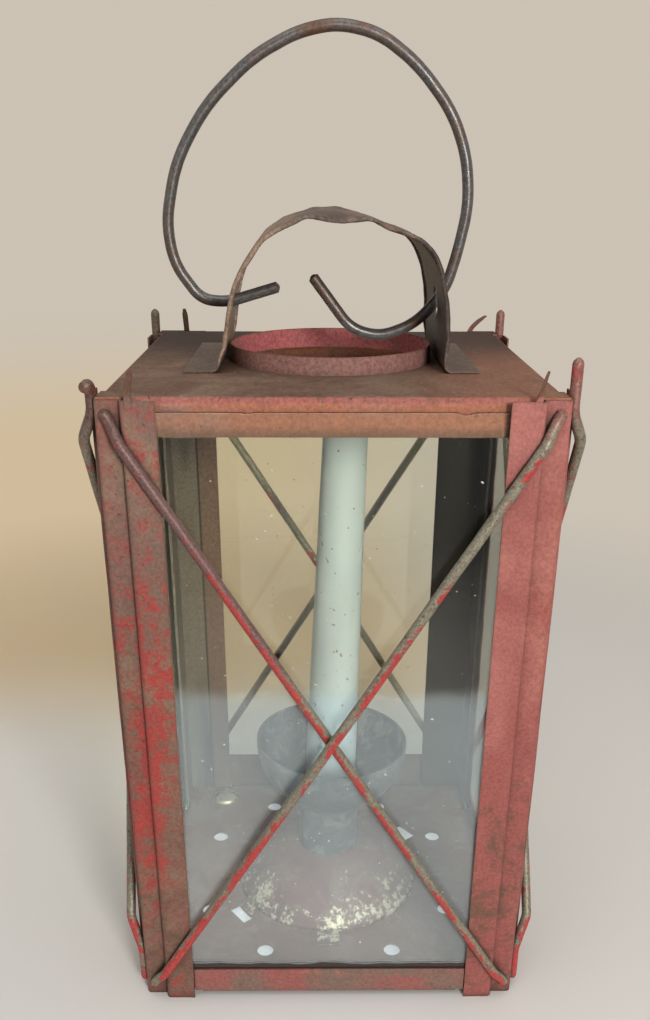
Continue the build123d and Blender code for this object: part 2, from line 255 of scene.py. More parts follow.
def merged(meshes):
    """One mesh of several."""
    points, faces = [], []
    for mesh in meshes:
        start = len(points)
        points += [vertex.co.copy() for vertex in mesh.vertices]
        faces += [[start + at for at in face.vertices] for face in mesh.polygons]
    return faced("merged", points, faces)


def rounded(points, step, most):
    """Flat route with rounded corners and points about a step apart, as (place, left normal) pairs."""
    points = [Vector(point) for point in points]
    route = [points[0]]
    for before, at, after in zip(points, points[1:], points[2:]):
        reach = min(most, BEND_SHARE * min((at - before).length, (after - at).length))
        start = at + (before - at).normalized() * reach
        end = at + (after - at).normalized() * reach
        route += [start.lerp(at, t).lerp(at.lerp(end, t), t) for t in (0.0, 0.2, 0.4, 0.6, 0.8, 1.0)]
    route.append(points[-1])
    dense = [route[0]]
    for before, after in zip(route, route[1:]):
        count = max(1, round((after - before).length / step))
        dense += [before.lerp(after, (i + 1) / count) for i in range(count)]
    pairs = []
    for i, at in enumerate(dense):
        run = dense[min(i + 1, len(dense) - 1)] - dense[max(i - 1, 0)]
        pairs.append((at, Vector((-run.y, run.x)).normalized()))
    return pairs


class Tree:
    """A node tree in the making: short calls that add nodes and hand back their outputs."""

    def add(self, kind, links=None, **settings):
        """Outputs of a new node with these settings, its inputs linked to sockets or set to values."""
        node = self.tree.nodes.new(kind)
        for name, value in settings.items():
            setattr(node, name, value)
        for name, value in (links or {}).items():
            self.feed(node.inputs[name], value)
        return node.outputs

    def feed(self, socket, value):
        """Link a socket to another, or set it to a value."""
        if isinstance(value, bpy.types.NodeSocket):
            self.tree.links.new(value, socket)
        else:
            socket.default_value = value

    def maths(self, operation, *values):
        return self.add("ShaderNodeMath", dict(enumerate(values)), operation=operation)["Value"]


class Recipe(Tree):
    """A geometry tree in the making, with named inputs."""

    def __init__(self, name, **inputs):
        self.tree = bpy.data.node_groups.new(name, "GeometryNodeTree")
        sockets = self.tree.interface
        sockets.new_socket("Geometry", in_out="OUTPUT", socket_type="NodeSocketGeometry")
        inputs = {"Geometry": "Geometry", **inputs, "Material": "Material"}
        for label, kind in inputs.items():
            sockets.new_socket(label, in_out="INPUT", socket_type=f"NodeSocket{kind}")
        self.given = self.tree.nodes.new("NodeGroupInput").outputs
        self.result = self.tree.nodes.new("NodeGroupOutput").inputs["Geometry"]

    def vectors(self, operation, links):
        return self.add("ShaderNodeVectorMath", links, operation=operation)["Vector"]

    def random(self, low, high, seed):
        return self.add("FunctionNodeRandomValue", {2: low, 3: high, "Seed": seed}, data_type="FLOAT")[1]

    def bumps(self, scale, depth):
        """Vector of smooth noise around zero, of this depth, set by the seed."""
        place = self.add("GeometryNodeInputPosition")["Position"]
        seed = self.given["Seed"]
        shift = self.add("ShaderNodeCombineXYZ", {"X": seed, "Y": seed})["Vector"]
        moved = self.vectors("ADD", {0: place, 1: shift})
        colour = self.add("ShaderNodeTexNoise", {"Vector": moved, "Scale": scale, "Detail": 3.0})["Color"]
        centred = self.vectors("SUBTRACT", {0: colour, 1: (0.5, 0.5, 0.5)})
        return self.vectors("SCALE", {0: centred, "Scale": depth})

    def close(self, geometry):
        """End the tree with plain geometry in the given material."""
        real = self.add("GeometryNodeRealizeInstances", {"Geometry": geometry})["Geometry"]
        links = {"Geometry": real, "Material": self.given["Material"]}
        self.feed(self.result, self.add("GeometryNodeSetMaterial", links)["Geometry"])
        return self

    def grow(self, mesh, **values):
        """The plain mesh that the tree makes from a base mesh and these inputs."""
        holder = linked("holder", mesh)
        modifier = holder.modifiers.new("Recipe", "NODES")
        modifier.node_group = self.tree
        for item in self.tree.interface.items_tree:
            if item.in_out == "INPUT" and item.name in values:
                modifier[item.identifier] = values[item.name]
        result = evaluated(holder)
        holder.modifiers.remove(modifier)
        bpy.data.objects.remove(holder)
        return result


def bent_wire_recipe():
    """Round wire along a route: rounded bends, a slight wander, eased ends and a pitted skin."""
    recipe = Recipe("Bent wire", Diameter="Float", Ease="Float", Wander="Float", Pits="Float", Seed="Float")
    given = recipe.given
    add = recipe.add
    maths = recipe.maths
    route = add("GeometryNodeMeshToCurve", {"Mesh": given["Geometry"]})["Curve"]
    bend = add("GeometryNodeInputNamedAttribute", {"Name": "bend"}, data_type="FLOAT")["Attribute"]
    links = {"Curve": route, "Radius": bend, "Count": BEND_POINTS, "Limit Radius": True}
    route = add("GeometryNodeFilletCurve", links, mode="POLY")["Curve"]
    route = add("GeometryNodeResampleCurve", {"Curve": route, "Length": WIRE_STEP}, mode="LENGTH")["Curve"]
    wander = recipe.bumps(45.0, given["Wander"])
    route = add("GeometryNodeSetPosition", {"Geometry": route, "Offset": wander})["Geometry"]
    along = add("GeometryNodeSplineParameter")["Length"]
    whole = add("GeometryNodeSplineLength")["Length"]
    to_end = maths("MINIMUM", along, maths("SUBTRACT", whole, along))
    short = maths("MAXIMUM", maths("SUBTRACT", 1.0, maths("DIVIDE", to_end, given["Ease"])), 0.0)
    swell = maths("SQRT", maths("SUBTRACT", 1.0, maths("MULTIPLY", short, short)))
    swell = maths("MAXIMUM", swell, 0.30)
    radius = maths("MULTIPLY", given["Diameter"], 0.5)
    ring = add("GeometryNodeCurvePrimitiveCircle", {"Resolution": WIRE_SIDES, "Radius": radius})["Curve"]
    links = {"Curve": route, "Profile Curve": ring, "Scale": swell, "Fill Caps": True}
    tube = add("GeometryNodeCurveToMesh", links)["Mesh"]
    pits = recipe.bumps(420.0, given["Pits"])
    return recipe.close(add("GeometryNodeSetPosition", {"Geometry": tube, "Offset": pits})["Geometry"])


def fleck_recipe():
    """Small pale flakes scattered flat on a face."""
    recipe = Recipe("Dust flecks", Density="Float", Size="Float", Seed="Int")
    given = recipe.given
    add = recipe.add
    seed = given["Seed"]
    links = {"Mesh": given["Geometry"], "Density": given["Density"], "Seed": seed}
    spread = add("GeometryNodeDistributePointsOnFaces", links, distribute_method="RANDOM")
    flake = add("GeometryNodeMeshIcoSphere", {"Radius": given["Size"], "Subdivisions": 1})["Mesh"]
    about = add("ShaderNodeCombineXYZ", {"Z": recipe.random(0.0, 2 * pi, seed)})["Vector"]
    links = {0: spread["Rotation"], 1: about}
    turn = add("FunctionNodeRotateRotation", links, rotation_space="LOCAL")["Rotation"]
    links = {"X": recipe.random(0.25, 1.0, seed), "Y": recipe.random(0.2, 0.5, 7), "Z": 0.1}
    scale = add("ShaderNodeCombineXYZ", links)["Vector"]
    links = {"Points": spread["Points"], "Instance": flake, "Rotation": turn, "Scale": scale}
    return recipe.close(add("GeometryNodeInstanceOnPoints", links)["Instances"])


def colour(name, description, default):
    return bpy.props.FloatVectorProperty(
        name=name, description=description, default=default, subtype="COLOR", size=3, min=0.0, max=1.0
    )


def length(name, description, default):
    return bpy.props.FloatProperty(
        name=name, description=description, default=default * MM, min=0.0, precision=5, unit="LENGTH",
        subtype="DISTANCE",
    )


class LanternSizes(bpy.types.PropertyGroup):
    """Sizes of the lantern's dents, waves and small pieces."""

    post_dent: length("Post dent", "Depth of the dents in the corner posts", 0.22)
    rim_wave: length("Rim wave", "Height of the waves along the hood's rims", 0.5)
    wire_wander: length("Wire wander", "How far a wire strays from straight", 0.35)
    wire_pits: length("Wire pits", "Depth of the pits in a wire's skin", 0.14)
    glass_chip: length("Glass chip", "Depth of the chips in a pane's upper edge", 1.6)
    fleck_size: length("Fleck size", "Radius of a fleck of dust on the glass", 0.65)
    drop_radius: length("Drop radius", "Radius of the solder drop on the floor", 6.5)
    fleck_density: bpy.props.FloatProperty(
        name="Fleck density", description="Flecks of dust on a square metre of glass", default=5000.0,
        min=0.0,
    )


class LanternColours(bpy.types.PropertyGroup):
    """Colours of the lantern's finishes."""

    fresh_red: colour("Fresh red", "Paint that kept its colour", (0.40, 0.042, 0.038))
    faded_red: colour("Faded red", "Paint gone dull and pinkish", (0.41, 0.147, 0.127))
    dusky_red: colour("Dusky red", "Darkened paint", (0.31, 0.092, 0.081))
    worn_brown: colour("Worn brown", "Rubbed paint over tin", (0.20, 0.125, 0.098))
    rubbed_tan: colour("Rubbed tan", "Paint rubbed almost to the tin", (0.31, 0.205, 0.14))
    rust: colour("Rust", "Brown rust on bare tin", (0.14, 0.078, 0.052))
    roof_brown: colour("Roof brown", "Dusty brown of the roof", (0.215, 0.142, 0.103))
    orange_rust: colour("Orange rust", "Rust on the top rails", (0.42, 0.165, 0.10))
    rail_mauve: colour("Rail mauve", "Purple-grey film on the top rails", (0.38, 0.215, 0.18))
    bead_pink: colour("Bead pink", "Paint along the roof's bent edge", (0.39, 0.125, 0.108))
    collar_brown: colour("Collar brown", "Dusty paint outside the chimney collar", (0.26, 0.122, 0.102))
    crimson: colour("Crimson", "Paint inside the chimney collar", (0.42, 0.105, 0.110))
    # Soot that also serves as painted shade: the unlit side of the inner angles and the dark line along the
    # hem.
    soot: colour("Soot", "Smoked tin inside the corners", (0.018, 0.015, 0.012))
    # Painted light: the smoked tin as it looks where light reaches it.
    smoked_tan: colour("Smoked tan", "Smoked tin where light reaches it", (0.15, 0.124, 0.093))
    dust: colour("Dust", "Pale dust on flat places", (0.44, 0.40, 0.36))
    # Dark specks and pits, also used as painted shade in crevices, at the roof's back, on the hood's right
    # leg, along the floor's front wall and at the front pane's foot.
    dark_speck: colour("Dark speck", "Pits and specks", (0.040, 0.026, 0.022))
    bare_tin: colour("Bare tin", "Bright tin where paint is gone", (0.66, 0.58, 0.42))
    floor_brown: colour("Floor brown", "Dirty paint of the floor", (0.175, 0.085, 0.058))
    dome_brown: colour("Dome brown", "Dirty paint of the candle dome", (0.155, 0.066, 0.058))
    wire_steel: colour("Wire steel", "Bare wire", (0.24, 0.22, 0.165))
    wire_brown: colour("Wire brown", "Dark lacquer left on a wire", (0.17, 0.095, 0.088))
    bail_steel: colour("Bail steel", "Bare wire of the handle", (0.135, 0.128, 0.125))
    # Dull tin, made darker as painted shade on the socket and cup.
    cup_grey: colour("Cup grey", "Dull tin of the socket and cup", (0.085, 0.100, 0.105))
    hood_brown: colour("Hood brown", "Dark steel of the hood", (0.085, 0.062, 0.050))
    glass_tint: colour("Glass tint", "Tint of the panes", (0.95, 0.965, 0.915))
    # Milky film that also stands in as a painted reflection of the pale floor on the front pane.
    glass_film: colour("Glass film", "Milky film low on the front pane", (0.79, 0.885, 0.935))
    wax: colour("Wax", "Candle wax", (0.44, 0.505, 0.51))
    backdrop: colour("Backdrop", "Background behind the lantern", (0.60, 0.54, 0.46))
    # Painted warm shadow: low on the left of the background, and on the floor behind the lantern.
    warm_backdrop: colour("Warm backdrop", "Background low on the left, in warm light", (0.63, 0.50, 0.33))
    floor: colour("Floor", "Surface that the lantern stands on", (0.68, 0.67, 0.65))


class Finish(Tree):
    """A material in the making: colours are laid over its base, and reliefs add up."""

    def __init__(self, name, base):
        self.material = bpy.data.materials.new(name)
        self.material.use_nodes = True
        self.begin(self.material.node_tree, "Object", base)
        self.shader = self.tree.nodes["Principled BSDF"]
        self.normal = None

    def begin(self, tree, place, base):
        self.tree = tree
        self.colours = bpy.context.scene.lantern_colours
        self.place = self.add("ShaderNodeTexCoord")[place]
        self.base = base

    def feed(self, socket, value):
        """Link a socket, or set it to a number, a colour, or one of the lantern's colours by its name."""
        if isinstance(value, str):
            value = getattr(self.colours, value)
        if socket.type == "RGBA" and not isinstance(value, bpy.types.NodeSocket):
            value = (*value, 1.0)
        super().feed(socket, value)

    def stretched(self, *scale):
        """Place with each axis scaled, for streaks."""
        return self.add("ShaderNodeMapping", {"Vector": self.place, "Scale": scale})["Vector"]

    def noise(self, scale, detail=5.0, rough=0.6, warp=0.0, place=None):
        links = {"Vector": place or self.place, "Scale": scale, "Detail": detail, "Roughness": rough}
        return self.add("ShaderNodeTexNoise", {**links, "Distortion": warp})["Fac"]

    def step(self, value, low, high, most=1.0):
        """0 below low, most above high, smooth between; high below low turns it round."""
        start, end = (0.0, most) if low < high else (most, 0.0)
        links = {"Value": value, "From Min": min(low, high), "From Max": max(low, high)}
        links.update({"To Min": start, "To Max": end})
        return self.add("ShaderNodeMapRange", links, interpolation_type="SMOOTHSTEP")["Result"]

    def times(self, first, second):
        return self.maths("MULTIPLY", first, second)

    def plus(self, value, other, weight=1.0):
        """The value with a share of another added."""
        return self.maths("MULTIPLY_ADD", other, weight, value)

    def dot(self, first, second):
        return self.add("ShaderNodeVectorMath", {0: first, 1: second}, operation="DOT_PRODUCT")["Value"]

    def between(self, share, low, high):
        return self.add("ShaderNodeMix", {"Factor": share, "A": low, "B": high}, data_type="FLOAT")["Result"]

    def blend(self, under, over, share, *limits):
        """One colour over another by a share, or by a value stepped between limits."""
        links = {"Factor": self.step(share, *limits) if limits else share, "A": under, "B": over}
        return self.add("ShaderNodeMix", links, data_type="RGBA")["Result"]

    def over(self, colour, share, *limits):
        """Lay a colour over the base."""
        self.base = self.blend(self.base, colour, share, *limits)

    def grained(self, grain, dark, light):
        """Make the base darker where the grain is low and lighter where it is high."""
        shade = self.between(self.step(grain, 0.32, 0.68), dark, light)
        links = {"Factor": 1.0, "A": self.base, "B": shade}
        self.base = self.add("ShaderNodeMix", links, data_type="RGBA", blend_type="MULTIPLY")["Result"]

    def axis(self, name, of=None):
        return self.add("ShaderNodeSeparateXYZ", {0: of or self.place})[name]

    def facing(self):
        """The surface's normal."""
        return self.add("ShaderNodeNewGeometry")["Normal"]

    def from_middle(self, flat):
        """Distance from the lantern's upright axis, or from its origin."""
        place = self.stretched(1.0, 1.0, 0.0) if flat else self.place
        return self.add("ShaderNodeVectorMath", {0: place}, operation="LENGTH")["Value"]

    def edges(self, radius):
        """1 along outer and inner corners of the sheet, for a radius in millimetres."""
        bevel = self.add("ShaderNodeBevel", {"Radius": radius * MM}, samples=4)
        return self.step(self.dot(bevel["Normal"], self.facing()), *EDGE_TURN)

    def crevices(self, reach, most):
        """Painted shade: rises to most in corners that other surfaces close in within a reach in
        millimetres.
        """
        closed = self.add("ShaderNodeAmbientOcclusion", {"Distance": reach * MM}, samples=4)
        return self.step(closed["AO"], 0.85, 0.35, most)

    def relief(self, height, depth, strength):
        """Add a relief of this depth in millimetres to the surface."""
        links = {"Strength": strength, "Distance": depth * MM, "Height": height}
        if self.normal:
            links["Normal"] = self.normal
        self.normal = self.add("ShaderNodeBump", links)["Normal"]
        self.shade({"Normal": self.normal})

    def shade(self, values):
        for name, value in values.items():
            self.feed(self.shader.inputs[name], value)

    def surface(self, rough, metal=0.0, gloss=0.5):
        """The material with its base colour and these levels."""
        self.shade({"Base Color": self.base, "Roughness": rough, "Metallic": metal})
        self.shade({"Specular IOR Level": gloss})
        return self.material

    def see_through(self, share, tint):
        """The material with a share of the light let straight through."""
        clear = self.add("ShaderNodeBsdfTransparent", {"Color": tint})["BSDF"]
        links = {"Fac": share, 1: self.shader.outputs["BSDF"], 2: clear}
        mix = self.add("ShaderNodeMixShader", links)["Shader"]
        self.feed(self.tree.nodes["Material Output"].inputs["Surface"], mix)
        return self.material


class Backdrop(Finish):
    """A background in the making, coloured by the direction that it is seen in."""

    def __init__(self, name, base):
        self.world = bpy.data.worlds.new(name)
        self.world.use_nodes = True
        self.begin(self.world.node_tree, "Generated", base)


def red_tin():
    """Old red paint: brick red on the right, rubbed brown on the left, with patches of fresh colour."""
    tin = Finish("Worn red tin", "faded_red")
    fields = tin.noise(26, 6, 0.62, 0.6)
    runs = tin.noise(60, 5, 0.6, 0.5, tin.stretched(1.0, 1.0, 0.12))
    mottle = tin.noise(190, 6, 0.72, 0.4)
    grain = tin.noise(900, 4, 0.75)
    left = tin.step(tin.axis("X"), 0.02, -0.03)
    height = tin.axis("Z")
    low = tin.step(height, 0.17, 0.03)
    middle = tin.step(height, 0.21, 0.12)
    tin.over("dusky_red", tin.plus(fields, middle, 0.16), 0.42, 0.70)
    tin.over("orange_rust", runs, 0.54, 0.72, 0.18)
    tin.over("worn_brown", mottle, 0.54, 0.74, 0.45)
    brown = tin.blend("worn_brown", "rubbed_tan", fields, 0.44, 0.68, 0.75)
    brown = tin.blend(brown, "dusky_red", tin.plus(mottle, middle, 0.05), 0.42, 0.66, 0.7)
    tin.over(tin.blend(brown, "rust", tin.times(middle, 0.40)), left)
    patches = tin.noise(24, 5, 0.58, 0.6, tin.stretched(1.0, 1.0, 0.45))
    patches = tin.plus(tin.plus(patches, mottle, 0.75), left, 0.09)
    fresh = tin.step(tin.plus(patches, tin.step(height, 0.22, 0.17), 0.03), 1.05, 1.22, 0.78)
    tin.over("fresh_red", fresh)
    specks = tin.step(tin.noise(640, 3, 0.6), 0.62, 0.70)
    tin.over("dark_speck", tin.times(specks, tin.between(left, 0.25, 0.55)))
    tin.over("rust", tin.plus(tin.noise(55, 8, 0.80, 0.5), low, 0.12), 0.57, 0.72, 0.85)
    tin.over("rust", tin.times(tin.edges(0.9), tin.step(mottle, 0.30, 0.52, 0.85)))
    tin.over("rust", height, ROOF_TOP, ROOF_TOP + 1.5 * MM, 0.85)
    # Painted shade in the folds and crevices of the post.
    tin.over("dark_speck", tin.crevices(5, 0.88))
    tin.grained(grain, 0.80, 1.16)
    tin.relief(fields, 0.9, 0.35)
    tin.relief(mottle, 0.20, 0.45)
    tin.relief(grain, 0.04, 0.5)
    tin.relief(fresh, 0.08, 0.6)
    return tin.surface(tin.between(fresh, 0.62, 0.48), gloss=0.28)


def rail_tin():
    """Dull red-brown paint on the low walls, with rust and dark specks."""
    tin = Finish("Dull rail tin", "dusky_red")
    fields = tin.noise(36, 7, 0.66, 0.7)
    mottle = tin.noise(170, 5, 0.7)
    tin.over("worn_brown", fields, 0.40, 0.62)
    tin.over("orange_rust", tin.noise(60, 6, 0.7, 0.8), 0.54, 0.68, 0.6)
    tin.over("rust", mottle, 0.56, 0.70, 0.6)
    # Painted shade in the rail's crevices.
    tin.over("dark_speck", tin.crevices(5, 0.7))
    tin.grained(tin.noise(800, 4, 0.75), 0.78, 1.18)
    tin.relief(fields, 0.7, 0.35)
    tin.relief(mottle, 0.15, 0.5)
    return tin.surface(0.66)


def roof_tin():
    """Dusty brown on top, pink along the bent edge, orange rust and a mauve film on the rails."""
    tin = Finish("Dusty roof tin", "rust")
    fields = tin.noise(32, 7, 0.65, 0.5)
    mottle = tin.noise(240, 6, 0.72, 0.3)
    grain = tin.noise(950, 4, 0.75)
    up = tin.axis("Z", tin.facing())
    tin.over("roof_brown", fields, 0.40, 0.66)
    tin.over("rubbed_tan", mottle, 0.54, 0.74, 0.35)
    tin.over("dust", tin.noise(700, 2, 0.5), 0.68, 0.74, 0.55)
    tin.over("orange_rust", tin.axis("X"), 0.015, 0.06, 0.35)
    # Painted shade: the roof darkens towards the back.
    tin.over("dark_speck", tin.axis("Y"), -0.02, 0.04, 0.88)
    rail = tin.blend("orange_rust", "rail_mauve", fields, 0.47, 0.70, 0.8)
    rail = tin.blend(rail, "rubbed_tan", mottle, 0.52, 0.72, 0.45)
    lower = tin.plus(tin.axis("Z"), tin.plus(-0.25, mottle, 0.5), 4 * MM)
    rail = tin.blend(rail, "rust", lower, ROOF_LOW.z + 4 * MM, ROOF_LOW.z + 0.5 * MM, 0.75)
    tin.over(rail, up, 0.55, 0.15)
    bead = tin.times(tin.step(up, 0.05, 0.35), tin.step(up, 0.97, 0.85))
    tin.over("bead_pink", tin.times(bead, tin.step(mottle, 0.30, 0.55, 0.85)))
    tin.over("dark_speck", tin.noise(300, 6, 0.75, 0.4), 0.60, 0.68, 0.75)
    # Painted shade in the roof's crevices.
    tin.over("dark_speck", tin.crevices(6, 0.55))
    tin.grained(grain, 0.76, 1.2)
    tin.relief(fields, 1.0, 0.4)
    tin.relief(mottle, 0.20, 0.6)
    tin.relief(grain, 0.05, 0.6)
    return tin.surface(0.76, gloss=0.22)


def collar_tin():
    """Dusty pink outside and crimson inside."""
    tin = Finish("Dusty collar tin", "collar_brown")
    mottle = tin.noise(150, 6, 0.7, 0.5)
    grain = tin.noise(850, 4, 0.75)
    normal = tin.facing()
    flat = tin.times(tin.axis("Z"), tin.axis("Z", normal))
    outward = tin.plus(tin.dot(normal, tin.place), flat, -1.0)
    tin.over("crimson", outward, 0.005, -0.005)
    tin.over("worn_brown", mottle, 0.52, 0.68, 0.6)
    tin.over("rust", tin.times(tin.edges(0.8), 0.7))
    # Painted shade in the collar's crevices.
    tin.over("dark_speck", tin.crevices(5, 0.5))
    tin.grained(grain, 0.65, 1.3)
    tin.relief(mottle, 0.25, 0.5)
    return tin.surface(0.72)


def sooty_tin():
    """Smoked tin with streaks that run down, in painted light and shade: brown as if lit on the left with a
    redder hem, black painted shade on the right, and a painted shadow line along the hem.
    """
    tin = Finish("Sooty inner tin", "soot")
    streaks = tin.noise(60, 6, 0.6, place=tin.stretched(1.0, 1.0, 0.12))
    mottle = tin.noise(150, 6, 0.7, 0.5)
    across = tin.axis("X")
    # Painted light and shade: the left inner angles are coloured as lit, the right ones keep the black of
    # painted shade.
    left = tin.step(across, 0.02, -0.04)
    tin.over("smoked_tan", tin.times(left, tin.step(streaks, 0.26, 0.50)))
    tin.over("rust", tin.times(left, tin.step(mottle, 0.54, 0.70, 0.5)))
    hem = tin.step(across, -0.0578, -0.0572, 0.75)
    tin.over("rust", tin.times(left, hem))
    # Painted shade: a black line along the edge of the hem.
    seam_shade = tin.times(tin.step(across, -0.0585, -0.0579), tin.step(across, -0.0570, -0.0576, 0.9))
    tin.over("soot", seam_shade)
    tin.over("dust", tin.noise(620, 3, 0.6), 0.70, 0.74, 0.4)
    tin.grained(tin.noise(800, 4, 0.72), 0.75, 1.2)
    tin.relief(mottle, 0.2, 0.5)
    return tin.surface(0.66, gloss=0.2)


def flaked_wire():
    """Bare wire with red paint left on its undersides, most of it from the crossing down."""
    wire = Finish("Flaked guard wire", "wire_steel")
    patches = wire.noise(46, 6, 0.7, 0.8)
    grain = wire.noise(700, 4, 0.7)
    across, depth, height = wire.axis("X"), wire.axis("Y"), wire.axis("Z")
    flakes = wire.plus(patches, grain, 0.45)
    flakes = wire.plus(flakes, wire.step(wire.axis("Z", wire.facing()), 0.55, -0.05), 0.17)
    flakes = wire.plus(flakes, wire.step(height, 0.20, 0.13), 0.12)
    flakes = wire.plus(flakes, wire.step(depth, 0.05, 0.065), -0.16)
    flakes = wire.step(flakes, 0.94, 0.98)
    wire.over("rust", grain, 0.46, 0.30)
    lacquer = wire.times(wire.step(across, -0.005, -0.02), wire.step(height, 0.11, 0.15))
    wire.over("wire_brown", wire.times(lacquer, wire.step(depth, -0.06, -0.07)))
    wire.over("fresh_red", flakes)
    paint = wire.blend("dusky_red", "rust", across, 0.02, -0.02)
    ends = wire.plus(height, patches, 12 * MM)
    wire.over(paint, ends, ROOF_TOP - 8 * MM, ROOF_TOP + 4 * MM, 0.65)
    # Painted shade where the wire lies close to other parts.
    wire.over("dark_speck", wire.crevices(2.5, 0.6))
    wire.grained(wire.noise(1300, 3, 0.7), 0.65, 1.35)
    wire.relief(grain, 0.10, 0.5)
    wire.relief(flakes, 0.10, 0.8)
    return wire.surface(0.50, wire.between(flakes, 0.30, 0.0))


def bail_wire():
    """Dull grey wire, brown where the hand has not rubbed it."""
    wire = Finish("Dull bail wire", "bail_steel")
    patches = wire.noise(55, 5, 0.65, 0.4)
    grain = wire.noise(800, 4, 0.7)
    brown = wire.step(wire.plus(patches, grain, 0.4), 0.66, 0.88)
    wire.over("rust", brown)
    wire.grained(grain, 0.7, 1.25)
    wire.relief(grain, 0.08, 0.5)
    wire.relief(patches, 0.4, 0.3)
    return wire.surface(wire.between(brown, 0.34, 0.56), 0.45)


def hood_steel():
    """Dark brown steel with ripples along the strap, rubbed pale at its edges; the left leg is painted pale
    as if lit and the right leg darkened as painted shade.
    """
    steel = Finish("Brown hood steel", "hood_brown")
    streaks = steel.noise(110, 6, 0.65, place=steel.stretched(1.0, 0.30, 1.0))
    mottle = steel.noise(200, 6, 0.7, 0.4)
    grain = steel.noise(900, 4, 0.72)
    across = steel.axis("X")
    steel.over("worn_brown", streaks, 0.38, 0.60)
    # Painted light: the left leg is made pale tan in patches, as if lit.
    rubbed = steel.times(steel.step(across, -0.005, -0.025, 0.95), steel.step(mottle, 0.30, 0.52))
    steel.over("rubbed_tan", rubbed)
    # Painted shade: the right leg is darkened.
    steel.over("dark_speck", across, 0.026, 0.032, 0.75)
    foot = steel.step(steel.axis("Z"), ROOF_TOP + 5 * MM, ROOF_TOP + 1.5 * MM)
    steel.over(steel.blend("hood_brown", "rust", mottle, 0.42, 0.62), foot)
    edge = steel.times(steel.edges(0.9), steel.step(mottle, 0.30, 0.58, 0.85))
    steel.over("dust", steel.times(edge, steel.between(foot, 1.0, 0.1)))
    steel.over("rust", mottle, 0.60, 0.72, 0.5)
    steel.grained(grain, 0.65, 1.3)
    steel.relief(streaks, 0.5, 0.4)
    steel.relief(mottle, 0.2, 0.6)
    return steel.surface(0.56, 0.12, 0.3)


def dome_tin():
    """Dark red-brown paint, rubbed to bright tin in small patches round the dome's foot."""
    tin = Finish("Rubbed dome tin", "dome_brown")
    fields = tin.noise(60, 7, 0.68, 0.8)
    mottle = tin.noise(420, 5, 0.72)
    tin.over("worn_brown", fields, 0.38, 0.62)
    tin.over("dust", mottle, 0.56, 0.76, 0.3)
    foot = tin.step(tin.from_middle(True), 0.026, 0.0385)
    foot = tin.times(foot, tin.step(tin.axis("Y"), 0.01, -0.025))
    rub = tin.plus(tin.plus(tin.times(foot, 0.09), fields, 0.5), mottle, 0.6)
    bare = tin.step(rub, 0.655, 0.685)
    tin.over("bare_tin", bare)
    tin.grained(tin.noise(900, 4, 0.75), 0.75, 1.2)
    tin.relief(fields, 0.6, 0.4)
    tin.relief(mottle, 0.15, 0.5)
    return tin.surface(tin.between(bare, 0.62, 0.5), tin.between(bare, 0.0, 0.3))


def floor_tin():
    """Dirty brown paint with dust and rust, and a dark band of painted shade along the front wall."""
    tin = Finish("Dusty floor tin", "floor_brown")
    fields = tin.noise(40, 7, 0.66, 0.7)
    mottle = tin.noise(220, 5, 0.72)
    tin.over("worn_brown", fields, 0.40, 0.62)
    tin.over("dust", mottle, 0.50, 0.74, 0.30)
    tin.over("rust", tin.noise(150, 5, 0.7), 0.56, 0.70, 0.6)
    # Painted shade: a dark band along the front wall.
    tin.over("dark_speck", tin.plus(tin.axis("Y"), fields, -10 * MM), -0.066, -0.070)
    tin.grained(tin.noise(850, 4, 0.75), 0.75, 1.2)
    tin.relief(fields, 0.7, 0.4)
    tin.relief(mottle, 0.15, 0.5)
    return tin.surface(0.62)


def grey_tin():
    """Dull blue-grey tin of the socket and cup, made darker as painted shade, with a blush of old red."""
    tin = Finish("Dull cup tin", "cup_grey")
    fields = tin.noise(55, 6, 0.65, 0.6)
    tin.over("worn_brown", fields, 0.52, 0.70, 0.7)
    tin.over("faded_red", fields, 0.68, 0.76, 0.8)
    tin.over("dust", tin.noise(95, 7, 0.75, 0.8), 0.46, 0.66, 0.45)
    tin.grained(tin.noise(900, 4, 0.72), 0.75, 1.2)
    tin.relief(fields, 0.5, 0.35)
    tin.relief(tin.noise(260, 5, 0.7), 0.1, 0.5)
    return tin.surface(0.48, 0.25)


def old_glass():
    """Clear old glass with a milky film low on the front that also serves as a painted reflection, and a
    dark opaque line of painted shade at the front pane's foot; lamps shine through it.
    """
    glass = Finish("Old pane glass", "glass_tint")
    height = glass.axis("Z")
    front = glass.step(glass.axis("Y"), -0.066, -0.070)
    cloud = glass.noise(25, 4, 0.6)
    # Milky film low on the front pane, also a painted reflection of the pale floor.
    film = glass.times(front, glass.step(glass.plus(height, cloud, -8 * MM), 0.132, 0.124))
    # Painted shade: a dark, opaque line at the front pane's foot.
    slot_shade_line = glass.plus(height, glass.noise(90, 3), -3 * MM)
    foot = glass.times(front, glass.step(slot_shade_line, 0.0147, 0.0140))
    glass.over("glass_film", film)
    glass.over("dark_speck", foot)
    clear = glass.between(glass.times(film, glass.between(cloud, 0.06, 0.145)), 1.0, 0.0)
    glass.shade({"Transmission Weight": glass.between(foot, clear, 0.0), "IOR": 1.5})
    glass.surface(0.02)
    return glass.see_through(glass.add("ShaderNodeLightPath")["Is Shadow Ray"], "glass_tint")


